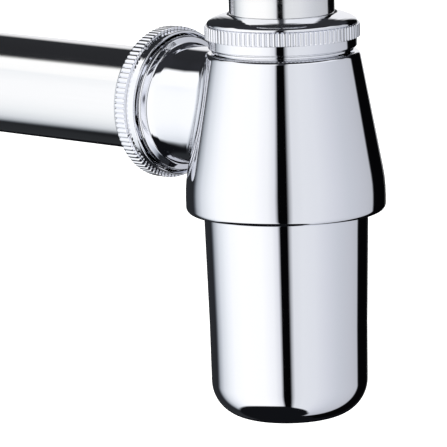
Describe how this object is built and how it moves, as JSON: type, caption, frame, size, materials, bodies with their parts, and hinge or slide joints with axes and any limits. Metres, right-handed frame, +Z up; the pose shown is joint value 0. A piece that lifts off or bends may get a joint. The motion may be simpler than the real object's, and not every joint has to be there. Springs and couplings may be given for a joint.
{
  "type": "bottle trap",
  "caption": "Bottle-type basin waste trap: vertical tail, knurled compression nuts, tapered bell body, screw-off cup and a horizontal outlet pipe with a wall flange.",
  "frame": {"origin": "on the inlet axis, at the face of the washer that the basin waste lands on", "axes": "+Z up along the inlet tail, towards the basin; -X out along the outlet pipe, towards the wall; +Y to the side, by the right-hand rule"},
  "size_m": [0.2645, 0.066, 0.1932],
  "materials": {
    "chrome_plate": "bright chrome plate on brass, mirror polished",
    "brushed_chrome_tube": "chrome plate over finely brushed brass tube",
    "raw_brass": "machined, unplated",
    "black_rubber": "moulded, matte",
    "white_nylon": "moulded, satin",
    "grey_polypropylene": "moulded, satin"
  },
  "bodies": {
    "tail": {"tail_pipe": "brushed_chrome_tube", "tail_collar": "raw_brass", "basin_washer": "black_rubber"},
    "union_ring": {"union_slip_ring": "white_nylon"},
    "union_nut": {"union_nut": "chrome_plate"},
    "inlet_seal": {"inlet_cone_seal": "black_rubber"},
    "housing": {"bell_shell": "chrome_plate", "inlet_spigot": "chrome_plate", "outlet_spigot": "chrome_plate", "cup_seat_ring": "raw_brass", "dip_sleeve": "grey_polypropylene"},
    "inlet_ring": {"inlet_slip_ring": "white_nylon"},
    "inlet_nut": {"inlet_nut": "chrome_plate"},
    "cup_gasket": {"cup_gasket": "black_rubber"},
    "cup_ring": {"cup_slip_ring": "white_nylon"},
    "cup": {"cup_shell": "chrome_plate", "cup_thread_ring": "raw_brass"},
    "outlet_seal": {"outlet_cone_seal": "black_rubber"},
    "outlet_pipe": {"outlet_pipe": "brushed_chrome_tube"},
    "outlet_ring": {"outlet_slip_ring": "white_nylon"},
    "outlet_nut": {"outlet_nut": "chrome_plate"},
    "flange_grip": {"flange_grip_ring": "black_rubber"},
    "wall_flange": {"wall_flange": "chrome_plate"}
  },
  "joints": [
    {"name": "union_drop", "type": "slide", "parent": "tail", "child": "union_ring", "axis": [0, 0, -1], "range_m": [0, 0.04]},
    {"name": "union_turn", "type": "hinge", "parent": "union_ring", "child": "union_nut", "pos_m": [0, 0, 0], "axis": [0, 0, 1], "continuous": true},
    {"name": "height_adjust", "type": "slide", "parent": "tail", "child": "inlet_seal", "axis": [0, 0, -1], "range_m": [-0.03, 0.035]},
    {"name": "trap_swivel", "type": "hinge", "parent": "inlet_seal", "child": "housing", "pos_m": [0, 0, -0.072], "axis": [0, 0, 1], "continuous": true},
    {"name": "inlet_nut_travel", "type": "slide", "parent": "housing", "child": "inlet_ring", "axis": [0, 0, 1], "range_m": [0, 0.0081]},
    {"name": "inlet_nut_turn", "type": "hinge", "parent": "inlet_ring", "child": "inlet_nut", "pos_m": [0, 0, -0.072], "axis": [0, 0, 1], "range_deg": [0, 1260]},
    {"name": "cup_pull", "type": "slide", "parent": "housing", "child": "cup_gasket", "axis": [0, 0, -1], "range_m": [0, 0.08]},
    {"name": "cup_travel", "type": "slide", "parent": "cup_gasket", "child": "cup_ring", "axis": [0, 0, -1], "range_m": [0, 0.007]},
    {"name": "cup_turn", "type": "hinge", "parent": "cup_ring", "child": "cup", "pos_m": [0, 0, -0.117], "axis": [0, 0, -1], "range_deg": [0, 1080]},
    {"name": "outlet_swivel", "type": "hinge", "parent": "housing", "child": "outlet_seal", "pos_m": [-0.0404, 0, -0.0913], "axis": [-1, 0, 0], "continuous": true},
    {"name": "outlet_pipe_slide", "type": "slide", "parent": "outlet_seal", "child": "outlet_pipe", "axis": [-1, 0, 0], "range_m": [-0.003, 0.008]},
    {"name": "outlet_nut_travel", "type": "slide", "parent": "housing", "child": "outlet_ring", "axis": [-1, 0, 0], "range_m": [0, 0.0081]},
    {"name": "outlet_nut_turn", "type": "hinge", "parent": "outlet_ring", "child": "outlet_nut", "pos_m": [-0.0404, 0, -0.0913], "axis": [-1, 0, 0], "range_deg": [0, 1260]},
    {"name": "flange_slide", "type": "slide", "parent": "outlet_pipe", "child": "flange_grip", "axis": [-1, 0, 0], "range_m": [-0.1, 0.035]},
    {"name": "flange_turn", "type": "hinge", "parent": "flange_grip", "child": "wall_flange", "pos_m": [-0.19, 0, -0.0913], "axis": [-1, 0, 0], "continuous": true}
  ],
  "couplings": [
    {"joint": "inlet_nut_travel", "follows": "inlet_nut_turn", "m_per_rad": 0.00036749},
    {"joint": "outlet_nut_travel", "follows": "outlet_nut_turn", "m_per_rad": 0.00036749},
    {"joint": "cup_travel", "follows": "cup_turn", "m_per_rad": 0.00036749}
  ]
}
